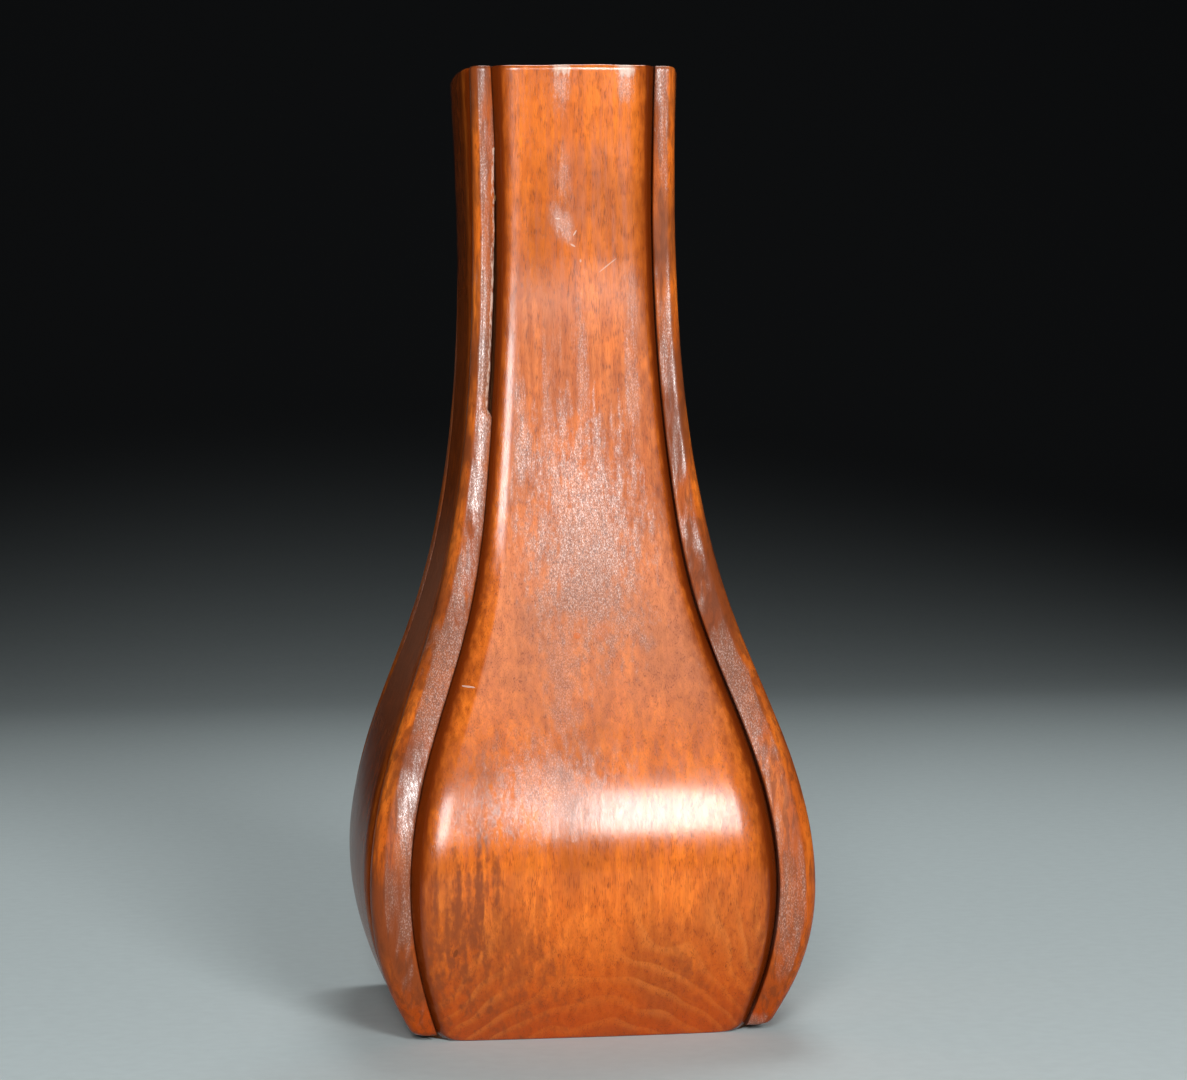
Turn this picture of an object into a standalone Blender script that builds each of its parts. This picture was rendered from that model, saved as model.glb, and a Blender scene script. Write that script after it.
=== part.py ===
"""A square wooden vase: a swelling body, a slender neck and a slightly flared mouth.

Four crowned side panels stand between four narrower corner posts. The posts lie a little
behind the panels, so a groove runs down each side of every panel from the rim to the foot.
The panels meet one another in short mitres behind the posts. Bamboo pins cross each seam
between a panel and a post, and a bottom board is housed in a groove round the inside.

Lengths are in metres, +Z is up, and the origin is the centre of the foot.
"""

import math

import bpy
import bmesh
import numpy as np
from mathutils import Matrix

# Heights of the stations above the foot
FOOT_Z = 0.0
HEEL_Z = 0.012
BELLY_Z = 0.037
SHOULDER_Z = 0.066
THROAT_Z = 0.095
COLLAR_Z = 0.125
NECK_Z = 0.180
RIM_Z = 0.220

# Half width across the flat faces of the corner posts
FOOT_HALF = 0.0397
HEEL_HALF = 0.0457
BELLY_HALF = 0.0500
SHOULDER_HALF = 0.0445
THROAT_HALF = 0.0343
COLLAR_HALF = 0.0275
NECK_HALF = 0.0235
RIM_HALF = 0.0238

# Width of a corner post's face, from its outer corner to the seam
FOOT_POST = 0.0051
HEEL_POST = 0.0075
BELLY_POST = 0.0087
SHOULDER_POST = 0.0085
THROAT_POST = 0.0080
COLLAR_POST = 0.0063
NECK_POST = 0.0055
RIM_POST = 0.0049

# How far a panel's crown stands in front of the posts
FOOT_PROUD = 0.0005
HEEL_PROUD = 0.0007
BELLY_PROUD = 0.0018
SHOULDER_PROUD = 0.0013
COLLAR_PROUD = 0.0004
NECK_PROUD = 0.0011
RIM_PROUD = 0.0021

# Depth of the grooves below the posts' faces
FOOT_GROOVE = 0.0026
BELLY_GROOVE = 0.0035
COLLAR_GROOVE = 0.0025
RIM_GROOVE = 0.0021

# Wall from the posts' faces in to the cavity
FOOT_WALL = 0.0100
HEEL_WALL = 0.0138
BELLY_WALL = 0.0118
THROAT_WALL = 0.0100
COLLAR_WALL = 0.0083
RIM_WALL = 0.0073

# Section of a panel's face: a shallow crown, a rounded edge and a sloping side
FOOT_CROWN = 0.0006
BELLY_CROWN = 0.0009
COLLAR_CROWN = 0.0004
RIM_CROWN = 0.0005
FOOT_EDGE_ROUND = 0.0040
BELLY_EDGE_ROUND = 0.0055
COLLAR_EDGE_ROUND = 0.0032
RIM_EDGE_ROUND = 0.0034
EDGE_SLOPE = math.radians(55)

# Rounded outer corner of a post, as a share of the post's width
CORNER_SHARE = 0.42

# Eased edges of the mouth and the foot, and the posts' feet, trimmed clear of the table
RIM_EASE = 0.0010
FOOT_EASE = 0.0006
POST_LIFT = 0.0015

# Bottom board: its underside above the table, its thickness, and how far it stops
# short of the posts' inner corners
BOARD_Z = 0.0030
BOARD_THICKNESS = 0.0050
BOARD_MARGIN = 0.0008

# Bamboo pins: radius, reach into the panel and into the post, heights of the front and
# back panels' pins, and how much higher those of the side panels stand
PIN_RADIUS = 0.00085
PIN_IN_PANEL = 0.0060
PIN_IN_POST = 0.0034
PIN_HEIGHTS = (0.020, 0.095, 0.190)
PIN_STAGGER = 0.0080
PIN_SIDES = 8

# Clearance between pieces that touch on the real vase
CLEARANCE = 0.0003

# Spacing of the lofts' levels, and steps of the rounded parts of a section
LEVEL_STEP = 0.0075
EASE_STEPS = 2
CROWN_STEPS = 2
EDGE_STEPS = 3
CORNER_STEPS = 5

# Faces that meet at more than this angle keep a sharp edge between them
SHARP_ANGLE = math.radians(32)

STATIONS = (FOOT_Z, HEEL_Z, BELLY_Z, SHOULDER_Z, THROAT_Z, COLLAR_Z, NECK_Z, RIM_Z)
SIDES = ("front", "right", "back", "left")
CORNERS = ("back_right", "back_left", "front_left", "front_right")
HANDS = {"a": -1, "b": 1}


def smooth_line(*stations):
    """Return a function of height: the natural cubic spline through (height, value) stations."""
    heights = np.array([height for height, value in stations])
    values = np.array([value for height, value in stations])
    step = np.diff(heights)
    slope = np.diff(values) / step
    matrix = np.eye(len(heights))
    pull = np.zeros(len(heights))
    for i in range(1, len(heights) - 1):
        matrix[i, i - 1:i + 2] = step[i - 1], 2 * (step[i - 1] + step[i]), step[i]
        pull[i] = 6 * (slope[i] - slope[i - 1])
    bend = np.linalg.solve(matrix, pull)

    def at(height):
        i = int(np.clip(np.searchsorted(heights, height) - 1, 0, len(step) - 1))
        above = heights[i + 1] - height
        below = height - heights[i]
        cubic = (bend[i] * above ** 3 + bend[i + 1] * below ** 3) / (6 * step[i])
        low = (values[i] / step[i] - bend[i] * step[i] / 6) * above
        high = (values[i + 1] / step[i] - bend[i + 1] * step[i] / 6) * below
        return float(cubic + low + high)

    return at


post_face_line = smooth_line(
    (FOOT_Z, FOOT_HALF), (HEEL_Z, HEEL_HALF), (BELLY_Z, BELLY_HALF), (SHOULDER_Z, SHOULDER_HALF),
    (THROAT_Z, THROAT_HALF), (COLLAR_Z, COLLAR_HALF), (NECK_Z, NECK_HALF), (RIM_Z, RIM_HALF))
post_width = smooth_line(
    (FOOT_Z, FOOT_POST), (HEEL_Z, HEEL_POST), (BELLY_Z, BELLY_POST), (SHOULDER_Z, SHOULDER_POST),
    (THROAT_Z, THROAT_POST), (COLLAR_Z, COLLAR_POST), (NECK_Z, NECK_POST), (RIM_Z, RIM_POST))
panel_proud = smooth_line(
    (FOOT_Z, FOOT_PROUD), (HEEL_Z, HEEL_PROUD), (BELLY_Z, BELLY_PROUD), (SHOULDER_Z, SHOULDER_PROUD),
    (COLLAR_Z, COLLAR_PROUD), (NECK_Z, NECK_PROUD), (RIM_Z, RIM_PROUD))
groove_depth = smooth_line(
    (FOOT_Z, FOOT_GROOVE), (BELLY_Z, BELLY_GROOVE), (COLLAR_Z, COLLAR_GROOVE), (RIM_Z, RIM_GROOVE))
wall = smooth_line(
    (FOOT_Z, FOOT_WALL), (HEEL_Z, HEEL_WALL), (BELLY_Z, BELLY_WALL),
    (THROAT_Z, THROAT_WALL), (COLLAR_Z, COLLAR_WALL), (RIM_Z, RIM_WALL))
crown_drop = smooth_line(
    (FOOT_Z, FOOT_CROWN), (BELLY_Z, BELLY_CROWN), (COLLAR_Z, COLLAR_CROWN), (RIM_Z, RIM_CROWN))
edge_round = smooth_line(
    (FOOT_Z, FOOT_EDGE_ROUND), (BELLY_Z, BELLY_EDGE_ROUND),
    (COLLAR_Z, COLLAR_EDGE_ROUND), (RIM_Z, RIM_EDGE_ROUND))


def eased(height):
    """How far the mouth's and the foot's rounded edges draw the outline in at a height."""
    into_rim = max(0.0, height - (RIM_Z - RIM_EASE))
    into_foot = max(0.0, FOOT_Z + FOOT_EASE - height)
    rim = RIM_EASE - math.sqrt(max(0.0, RIM_EASE ** 2 - into_rim ** 2))
    foot = FOOT_EASE - math.sqrt(max(0.0, FOOT_EASE ** 2 - into_foot ** 2))
    return rim + foot


def post_face(height):
    return post_face_line(height) - eased(height)


def seam(height):
    """Distance of the seam between panel and post from the panel's middle line."""
    return post_face_line(height) - post_width(height)


def groove_floor(height):
    return post_face(height) - groove_depth(height)


def cavity(height):
    """Half width of the hollow, drawn outwards where the mouth is eased."""
    return post_face_line(height) - wall(height) + eased(height)


def panel_face(height):
    return post_face(height) + panel_proud(height)


def quarter_turn(steps):
    """Sines of the angles that divide a quarter turn into equal steps."""
    return [math.sin(math.pi / 2 * i / steps) for i in range(steps + 1)]


def levels(bottom):
    """Heights of a loft's rings: the given lowest ones, evenly up the body, and round the rim's edge."""
    rim = [RIM_Z - RIM_EASE * (1 - share) for share in quarter_turn(EASE_STEPS)]
    body = []
    for low, high in zip(STATIONS, STATIONS[1:]):
        count = math.ceil((high - low) / LEVEL_STEP)
        body += [low + (high - low) * i / count for i in range(count)]
    body = [height for height in body if bottom[-1] < height < rim[0]]
    return bottom + body + rim


def panel_section(height):
    """Outline of a panel at a height, as (across, outward) points, for a panel facing +outward."""
    half = seam(height) - CLEARANCE / 2
    floor = groove_floor(height)
    shoulder = panel_face(height) - crown_drop(height)
    radius = edge_round(height)
    slope_rise = shoulder - floor - radius * (1 - math.cos(EDGE_SLOPE))
    slope_run = slope_rise / math.tan(EDGE_SLOPE)
    flat_half = half - slope_run - radius * math.sin(EDGE_SLOPE)

    right = [(half, floor)]
    for i in range(EDGE_STEPS, 0, -1):
        turn = EDGE_SLOPE * i / EDGE_STEPS
        right.append((flat_half + radius * math.sin(turn), shoulder - radius * (1 - math.cos(turn))))
    for i in range(CROWN_STEPS, 0, -1):
        share = i / CROWN_STEPS
        right.append((flat_half * share, panel_face(height) - crown_drop(height) * share ** 2))
    left = [(-across, outward) for across, outward in reversed(right)]
    outside = right + [(0.0, panel_face(height))] + left

    mitre_gap = CLEARANCE / math.sqrt(2)
    mitre_outer = seam(height) - CLEARANCE / 2
    mitre_inner = cavity(height) - mitre_gap
    inside = [(-mitre_outer, mitre_outer + mitre_gap), (-mitre_inner, cavity(height)),
              (mitre_inner, cavity(height)), (mitre_outer, mitre_outer + mitre_gap)]
    return outside + inside


def post_section(height):
    """Outline of the post at the +X, +Y corner at a height."""
    face = post_face(height)
    inner = seam(height) + CLEARANCE / 2
    radius = CORNER_SHARE * post_width(height)
    centre = face - radius
    corner = []
    for i in range(CORNER_STEPS + 1):
        turn = math.pi / 2 * i / CORNER_STEPS
        corner.append((centre + radius * math.cos(turn), centre + radius * math.sin(turn)))
    return [(inner, inner), (face, inner)] + corner + [(inner, face)]


def finish_mesh(name, bm):
    """Turn the modelled shape into a mesh that is shaded smooth except at its edges."""
    mesh = bpy.data.meshes.new(name)
    bm.to_mesh(mesh)
    bm.free()
    mesh.shade_smooth()
    mesh.set_sharp_from_angle(angle=SHARP_ANGLE)
    return mesh


def loft(name, section, heights):
    """Draw a section up through the heights, edge ring by edge ring, and close both ends."""
    bm = bmesh.new()
    ring = [bm.verts.new((x, y, heights[0])) for x, y in section(heights[0])]
    edges = [bm.edges.new((ring[i - 1], ring[i])) for i in range(len(ring))]
    bmesh.ops.edgeloop_fill(bm, edges=edges)
    for height in heights[1:]:
        drawn = bmesh.ops.extrude_edge_only(bm, edges=edges)["geom"]
        edges = [item for item in drawn if isinstance(item, bmesh.types.BMEdge)]
        fresh = {item for item in drawn if isinstance(item, bmesh.types.BMVert)}
        above = []
        for vert in ring:
            above.append(next(e.other_vert(vert) for e in vert.link_edges if e.other_vert(vert) in fresh))
        for vert, (x, y) in zip(above, section(height)):
            vert.co = (x, y, height)
        ring = above
    bmesh.ops.edgeloop_fill(bm, edges=edges)
    bmesh.ops.recalc_face_normals(bm, faces=bm.faces)
    return finish_mesh(name, bm)


def side_turn(side):
    """Turn that brings a piece drawn facing +Y to a side; the front faces -Y."""
    return math.pi + side * math.pi / 2


def pin_place(side, row, hand):
    """Turn and shift that take an upright pin, centred on the origin, into its seam.

    Pins of the side panels stand higher than those of the front and back, so none meet in a post.
    """
    height = PIN_HEIGHTS[row] + PIN_STAGGER * (side % 2)
    across = hand * (seam(height) + (PIN_IN_POST - PIN_IN_PANEL) / 2)
    depth = (seam(height) + groove_floor(height)) / 2
    turn = Matrix.Rotation(side_turn(side), 4, "Z")
    return turn @ Matrix.Translation((across, depth, height)) @ Matrix.Rotation(math.pi / 2, 4, "Y")


def add_pin(bm, place, spare):
    """Add a round pin, longer and fatter by the spare where it serves as a drill."""
    bmesh.ops.create_cone(
        bm, cap_ends=True, segments=PIN_SIDES, radius1=PIN_RADIUS + spare, radius2=PIN_RADIUS + spare,
        depth=PIN_IN_PANEL + PIN_IN_POST + 2 * spare, matrix=place)


def add_board(bm, spare):
    """Add the bottom board, centred on the origin, or its housing where a spare is given."""
    across = 2 * (seam(BOARD_Z) - BOARD_MARGIN + spare)
    thickness = BOARD_THICKNESS + 2 * spare
    bmesh.ops.create_cube(bm, size=1.0)
    bmesh.ops.scale(bm, vec=(across, across, thickness), verts=bm.verts)


def add_object(name, mesh, place):
    """Place a mesh as a named object under the vase's frame."""
    piece = bpy.data.objects.new(name, mesh)
    piece.parent = vase_frame
    piece.matrix_basis = place
    bpy.context.scene.collection.objects.link(piece)
    return piece


def add_cutter(name, mesh, place):
    """Place a mesh as a guide that only cuts other pieces."""
    piece = add_object(name, mesh, place)
    piece.hide_render = True
    piece.display_type = "WIRE"
    return piece


def cut(piece, tool):
    modifier = piece.modifiers.new("cut by " + tool.name, "BOOLEAN")
    modifier.operation = "DIFFERENCE"
    modifier.solver = "EXACT"
    modifier.object = tool


def wood(name, colour, roughness):
    material = bpy.data.materials.new(name)
    material.use_nodes = True
    shader = material.node_tree.nodes["Principled BSDF"]
    shader.inputs["Base Color"].default_value = (*colour, 1.0)
    shader.inputs["Roughness"].default_value = roughness
    shader.inputs["Metallic"].default_value = 0.0
    return material


for leftover in list(bpy.data.objects):
    bpy.data.objects.remove(leftover)

vase_frame = bpy.data.objects.new("vase_frame", None)
bpy.context.scene.collection.objects.link(vase_frame)

panel_wood = wood("panel_wood", (0.42, 0.13, 0.03), 0.28)
post_wood = wood("post_wood", (0.36, 0.11, 0.035), 0.34)
board_wood = wood("board_wood", (0.30, 0.11, 0.04), 0.55)
bamboo = wood("pin_bamboo", (0.62, 0.42, 0.18), 0.50)

pin_places = {}
for side, side_name in enumerate(SIDES):
    for row in range(len(PIN_HEIGHTS)):
        for hand_name, hand in HANDS.items():
            pin_places[f"{side_name}_panel_pin_{row + 1}{hand_name}"] = pin_place(side, row, hand)

# The bottom board and the housing it is let into
board_place = Matrix.Translation((0, 0, BOARD_Z + BOARD_THICKNESS / 2))
board_shape = bmesh.new()
add_board(board_shape, 0.0)
board_mesh = finish_mesh("bottom_board", board_shape)
board_mesh.materials.append(board_wood)
add_object("bottom_board", board_mesh, board_place)
housing_shape = bmesh.new()
add_board(housing_shape, CLEARANCE)
board_housing = add_cutter("board_housing", finish_mesh("board_housing", housing_shape), board_place)

# The bamboo pins, which share one mesh, and the holes drilled for them
pin_shape = bmesh.new()
add_pin(pin_shape, Matrix.Identity(4), 0.0)
pin_mesh = finish_mesh("bamboo_pin", pin_shape)
pin_mesh.materials.append(bamboo)
drill_shape = bmesh.new()
for pin_name, place in pin_places.items():
    add_object(pin_name, pin_mesh, place)
    add_pin(drill_shape, place, CLEARANCE)
pin_holes = add_cutter("pin_holes", finish_mesh("pin_holes", drill_shape), Matrix.Identity(4))

# The four panels, eased round the edge they stand on
panel_bottom = [FOOT_Z + FOOT_EASE * (1 - share) for share in reversed(quarter_turn(EASE_STEPS))]
panel_mesh = loft("panel", panel_section, levels(panel_bottom))
panel_mesh.materials.append(panel_wood)
for side, side_name in enumerate(SIDES):
    panel = add_object(side_name + "_panel", panel_mesh, Matrix.Rotation(side_turn(side), 4, "Z"))
    cut(panel, board_housing)
    cut(panel, pin_holes)

# The four corner posts, whose feet are trimmed clear of the table
post_mesh = loft("post", post_section, levels([FOOT_Z + POST_LIFT]))
post_mesh.materials.append(post_wood)
for corner, corner_name in enumerate(CORNERS):
    post = add_object(corner_name + "_post", post_mesh, Matrix.Rotation(corner * math.pi / 2, 4, "Z"))
    cut(post, pin_holes)
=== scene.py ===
# %% [markdown] # A square wooden vase  This vase is joined, not turned. Four crowned panels
# and four narrow corner posts are glued edge to edge, pinned with bamboo, and lacquered a
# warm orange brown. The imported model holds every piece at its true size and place. This
# script gives those pieces their looks: it keeps the bottom board and the pins, and makes
# finer panels and posts on the same outlines. Its nodes stay where they are, and each new
# piece is made in the same frame, in metres, with the foot of the vase at the origin.

# %% Load the frame
import math
from types import SimpleNamespace

import bmesh
import bpy
import numpy as np
from mathutils import Matrix, Vector, noise


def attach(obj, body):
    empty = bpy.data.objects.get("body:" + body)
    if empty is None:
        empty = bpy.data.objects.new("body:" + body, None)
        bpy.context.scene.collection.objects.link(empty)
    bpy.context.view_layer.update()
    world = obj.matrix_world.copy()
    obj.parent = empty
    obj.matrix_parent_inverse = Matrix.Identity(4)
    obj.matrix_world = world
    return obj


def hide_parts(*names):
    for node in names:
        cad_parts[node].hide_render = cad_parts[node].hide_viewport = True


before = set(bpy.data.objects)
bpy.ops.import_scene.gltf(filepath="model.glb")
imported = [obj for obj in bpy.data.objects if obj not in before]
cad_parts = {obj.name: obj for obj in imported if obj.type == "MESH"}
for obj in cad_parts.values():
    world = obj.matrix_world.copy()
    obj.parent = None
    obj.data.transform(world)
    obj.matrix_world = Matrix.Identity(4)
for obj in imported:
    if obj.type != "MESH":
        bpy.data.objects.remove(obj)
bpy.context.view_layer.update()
print("pieces in the frame:", len(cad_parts))

# %% [markdown]
# ## The camera
#
# The camera comes first, because every later choice is judged through it. The photograph was
# taken from a little to the left of the front, level with the middle of the neck, from about
# three quarters of a metre away. Its place and lens were worked out from how fast the sides
# close up in perspective. The camera is turned about the upright axis, tipped down, then
# rolled, and three rotation matrices in that order say so more plainly than Euler angles do.

# %% Camera at the photograph's angle
PICTURE_WIDTH = 1187
FOCAL_LENGTH_PIXELS = 3227
SENSOR_WIDTH = 36.0
CAMERA_DISTANCE = 0.762
CAMERA_HEIGHT = 0.1346
CAMERA_TURN = math.radians(6.51)
CAMERA_PAN = math.radians(0.467)
CAMERA_TILT = math.radians(1.791)
CAMERA_ROLL = math.radians(0.636)

camera_data = bpy.data.cameras.new("camera")
camera_data.sensor_width = SENSOR_WIDTH
camera_data.lens = FOCAL_LENGTH_PIXELS / PICTURE_WIDTH * SENSOR_WIDTH
camera = bpy.data.objects.new("camera", camera_data)
bpy.context.scene.collection.objects.link(camera)
bpy.context.scene.camera = camera
camera.matrix_world = (
    Matrix.Translation((-CAMERA_DISTANCE * math.sin(CAMERA_TURN),
                        -CAMERA_DISTANCE * math.cos(CAMERA_TURN), CAMERA_HEIGHT))
    @ Matrix.Rotation(-(CAMERA_TURN + CAMERA_PAN), 4, "Z")
    @ Matrix.Rotation(math.pi / 2 - CAMERA_TILT, 4, "X")
    @ Matrix.Rotation(-CAMERA_ROLL, 4, "Z"))
print("lens of", round(camera_data.lens, 1), "mm")

# %% [markdown]
# ## Floor, backdrop and lamps
#
# A pale sheet that sweeps up behind the vase serves as floor and backdrop in one. It starts as
# a flat grid, its far edge is extruded upwards, and a wide bevel turns the fold into a curve.

# %% Floor and backdrop
SHEET_HALF = 3.0
SHEET_BACK = 1.6
SHEET_RISE = 2.4
SHEET_CURVE = 0.7
SHEET_CURVE_STEPS = 24

sheet_shape = bmesh.new()
bmesh.ops.create_grid(sheet_shape, x_segments=1, y_segments=1, size=SHEET_HALF)
bmesh.ops.translate(sheet_shape, vec=(0, SHEET_BACK - SHEET_HALF, 0), verts=sheet_shape.verts)
far_edge = [edge for edge in sheet_shape.edges if all(vert.co.y > 0 for vert in edge.verts)]
wall = bmesh.ops.extrude_edge_only(sheet_shape, edges=far_edge)["geom"]
wall_top = [item for item in wall if isinstance(item, bmesh.types.BMVert)]
bmesh.ops.translate(sheet_shape, vec=(0, 0, SHEET_RISE), verts=wall_top)
bmesh.ops.bevel(sheet_shape, geom=far_edge, affect="EDGES", offset=SHEET_CURVE,
                segments=SHEET_CURVE_STEPS, profile=0.5, material=-1)
sheet_mesh = bpy.data.meshes.new("backdrop")
sheet_shape.to_mesh(sheet_mesh)
sheet_shape.free()
sheet_mesh.shade_smooth()
backdrop = bpy.data.objects.new("backdrop", sheet_mesh)
bpy.context.scene.collection.objects.link(backdrop)
print("backdrop faces:", len(sheet_mesh.polygons))

# %% [markdown]
# ## Node helpers
#
# A material is a small program, and so is the light of a lamp. A few helpers keep them readable:
# each adds one node, sets or links its inputs, and hands back the output that comes next. A new
# material comes with its shader and the object's own coordinates, which every pattern here reads.

# %% Node helpers


def feed(tree, node, inputs):
    """Link or set the inputs of a node by name: a socket is linked, a plain value is set."""
    for name, value in inputs.items():
        if isinstance(value, bpy.types.NodeSocket):
            tree.links.new(value, node.inputs[name])
        else:
            node.inputs[name].default_value = value


def add(tree, kind, inputs, **settings):
    """Add a node to a tree, with its settings and its inputs."""
    made = tree.nodes.new(kind)
    for name, value in settings.items():
        setattr(made, name, value)
    feed(tree, made, inputs)
    return made


def maths(tree, operation, *values):
    """Do one sum on values or sockets."""
    return add(tree, "ShaderNodeMath", dict(enumerate(values)), operation=operation).outputs[0]


def vector_maths(tree, operation, *values):
    """Do one sum on vectors; a length comes back as a value."""
    made = add(tree, "ShaderNodeVectorMath", dict(enumerate(values)), operation=operation)
    return made.outputs["Value" if operation == "LENGTH" else "Vector"]


def smooth_step(tree, value, low, high):
    """Nought below low, one above high, and a soft rise between them."""
    inputs = {"Value": value, "From Min": low, "From Max": high}
    return add(tree, "ShaderNodeMapRange", inputs, interpolation_type="SMOOTHSTEP").outputs[0]


def mix_colour(tree, share, below, above):
    """Lay one colour over another by a share; the Mix node's colour sockets are its 6th and 7th."""
    inputs = {0: share, 6: below, 7: above}
    return add(tree, "ShaderNodeMix", inputs, data_type="RGBA").outputs[2]


def cloud(tree, vector, grain, detail=2.0, distortion=0.0):
    """A noise whose grains have the given size along X, Y and Z, in metres."""
    stretched = vector_maths(tree, "MULTIPLY", vector, [1 / size for size in grain])
    inputs = {"Vector": stretched, "Scale": 1.0, "Detail": detail, "Distortion": distortion}
    return add(tree, "ShaderNodeTexNoise", inputs).outputs[0]


def colour(red, green, blue):
    """A colour as the sockets want it, with its fourth number."""
    return (red, green, blue, 1.0)


def new_material(name):
    """A new material, with its node tree, its shader and the object's own coordinates."""
    material = bpy.data.materials.new(name)
    material.use_nodes = True
    tree = material.node_tree
    place = add(tree, "ShaderNodeTexCoord", {}).outputs["Object"]
    return material, tree, tree.nodes["Principled BSDF"], place


# %% [markdown]
# Gloss is read from what it mirrors, so the lamps are placed by their reflections. One softbox on
# the right of the camera lays the broad highlight across the swelling body and the haze on the
# neck. One on the left draws the bright line down the rounded left edge of the front panel. Each
# is brightest in its middle, as a real softbox is, which gives the highlights soft ends. A large
# one, high up behind the vase, lights the mouth and the back, and a weak, even world light keeps
# the shadows open. Where the camera looks past the sheet, it sees that world nearly black.

# %% Lamps
LAMP_TARGET = Vector((0, 0, 0.10))
LAMP_MIDDLE = (0.5, 0.5, 0.0)
LAMP_EDGE = 0.5


def softbox(name, azimuth, elevation, distance, width, height, power, core=0.18):
    """Add a rectangular area lamp, its azimuth counted from the front towards the right."""
    lamp_data = bpy.data.lights.new(name, "AREA")
    lamp_data.shape = "RECTANGLE"
    lamp_data.size = width
    lamp_data.size_y = height
    lamp_data.energy = power
    lamp_data.use_nodes = True
    tree = lamp_data.node_tree
    across_lamp = add(tree, "ShaderNodeNewGeometry", {}).outputs["Parametric"]
    from_middle = vector_maths(tree, "SUBTRACT", across_lamp, LAMP_MIDDLE)
    from_middle = vector_maths(tree, "ABSOLUTE", from_middle)
    reach = add(tree, "ShaderNodeSeparateXYZ", {0: from_middle}).outputs
    fade = maths(tree, "MULTIPLY", smooth_step(tree, reach["X"], LAMP_EDGE, core),
                 smooth_step(tree, reach["Y"], LAMP_EDGE, core))
    feed(tree, tree.nodes["Emission"], {"Strength": fade})
    lamp = bpy.data.objects.new(name, lamp_data)
    turn, rise = math.radians(azimuth), math.radians(elevation)
    away = Vector((math.sin(turn) * math.cos(rise), -math.cos(turn) * math.cos(rise), math.sin(rise)))
    lamp.matrix_world = (Matrix.Translation(LAMP_TARGET + away * distance)
                         @ away.to_track_quat("Z", "Y").to_matrix().to_4x4())
    bpy.context.scene.collection.objects.link(lamp)


softbox("key_softbox", azimuth=12, elevation=16, distance=1.6,
        width=0.46, height=0.46, power=31, core=0.24)
softbox("edge_softbox", azimuth=-11, elevation=16, distance=1.6,
        width=0.40, height=0.54, power=23, core=0.32)
softbox("top_softbox", azimuth=165, elevation=60, distance=1.8,
        width=0.90, height=0.90, power=24)

WORLD_STRENGTH = 0.03
BEHIND_SHEET = 0.001
world = bpy.data.worlds.new("studio")
world.use_nodes = True
sky = world.node_tree
seen = add(sky, "ShaderNodeLightPath", {}).outputs["Is Camera Ray"]
strength = maths(sky, "MULTIPLY_ADD", seen, BEHIND_SHEET - WORLD_STRENGTH, WORLD_STRENGTH)
feed(sky, sky.nodes["Background"], {"Color": colour(1.0, 1.0, 1.0), "Strength": strength})
bpy.context.scene.world = world
bpy.context.scene.view_settings.view_transform = "Standard"

# %% [markdown]
# ## The outline as smooth lines
#
# The real maker bends a thin spline through a few marks and draws along it. A natural cubic
# spline is the same thing in numbers. Each line below gives one size of the section, in
# millimetres, at a few heights in millimetres above the foot.

# %% A spline through stations
MM = 0.001


def smooth_line(stations):
    """Return a function of height: the natural cubic spline through {height: value} in millimetres."""
    heights = np.array(list(stations)) * MM
    values = np.array(list(stations.values())) * MM
    step = np.diff(heights)
    slope = np.diff(values) / step
    matrix = np.eye(len(heights))
    pull = np.zeros(len(heights))
    for i in range(1, len(heights) - 1):
        matrix[i, i - 1:i + 2] = step[i - 1], 2 * (step[i - 1] + step[i]), step[i]
        pull[i] = 6 * (slope[i] - slope[i - 1])
    bend = np.linalg.solve(matrix, pull)

    def at(height):
        i = int(np.clip(np.searchsorted(heights, height) - 1, 0, len(step) - 1))
        above = heights[i + 1] - height
        below = height - heights[i]
        cubic = (bend[i] * above ** 3 + bend[i + 1] * below ** 3) / (6 * step[i])
        low = (values[i] / step[i] - bend[i] * step[i] / 6) * above
        high = (values[i + 1] / step[i] - bend[i + 1] * step[i] / 6) * below
        return float(cubic + low + high)

    return at


# %% Lines of the vase
VASE_HEIGHT = 220 * MM
post_face_line = smooth_line(
    {0: 39.7, 12: 45.7, 37: 50.0, 66: 44.5, 95: 34.3, 125: 27.5, 180: 23.5, 220: 23.8})
post_width = smooth_line({0: 5.1, 12: 7.5, 37: 8.7, 66: 8.5, 95: 8.0, 125: 6.3, 180: 5.5, 220: 4.9})
panel_proud = smooth_line({0: 0.5, 12: 0.7, 37: 1.8, 66: 1.3, 125: 0.4, 180: 1.1, 220: 2.1})
groove_depth = smooth_line({0: 2.6, 37: 3.5, 125: 2.5, 220: 2.1})
wall_depth = smooth_line({0: 10.0, 12: 13.8, 37: 11.8, 95: 10.0, 125: 8.3, 220: 7.3})
crown_drop = smooth_line({0: 0.6, 37: 0.9, 125: 0.4, 220: 0.5})
for height in (0, 37, 125, 220):
    apart = 2 * post_face_line(height * MM) / MM
    print(height, "mm up, the posts' faces are", round(apart, 1), "mm apart")

# %% [markdown]
# A section also needs sizes that follow from these lines. The mouth and the foot are eased,
# which means that their sharp edges were rubbed round, so the outline draws in a little there.

# %% Sizes of the section at a height
RIM_EASE = 1.0 * MM
FOOT_EASE = 0.6 * MM
SEAM_GAP = 0.16 * MM
EDGE_SLOPE = math.radians(55)
CORNER_SHARE = 0.42


def rounded_in(height, rounding):
    """How far a rounded corner stands in from its sharp place, at a height above its end."""
    into = max(0.0, rounding - height)
    return rounding - math.sqrt(rounding ** 2 - into ** 2)


def eased(height):
    """How far the rounded edges of the mouth and the foot draw the outline in at a height."""
    return rounded_in(VASE_HEIGHT - height, RIM_EASE) + rounded_in(height, FOOT_EASE)


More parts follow.
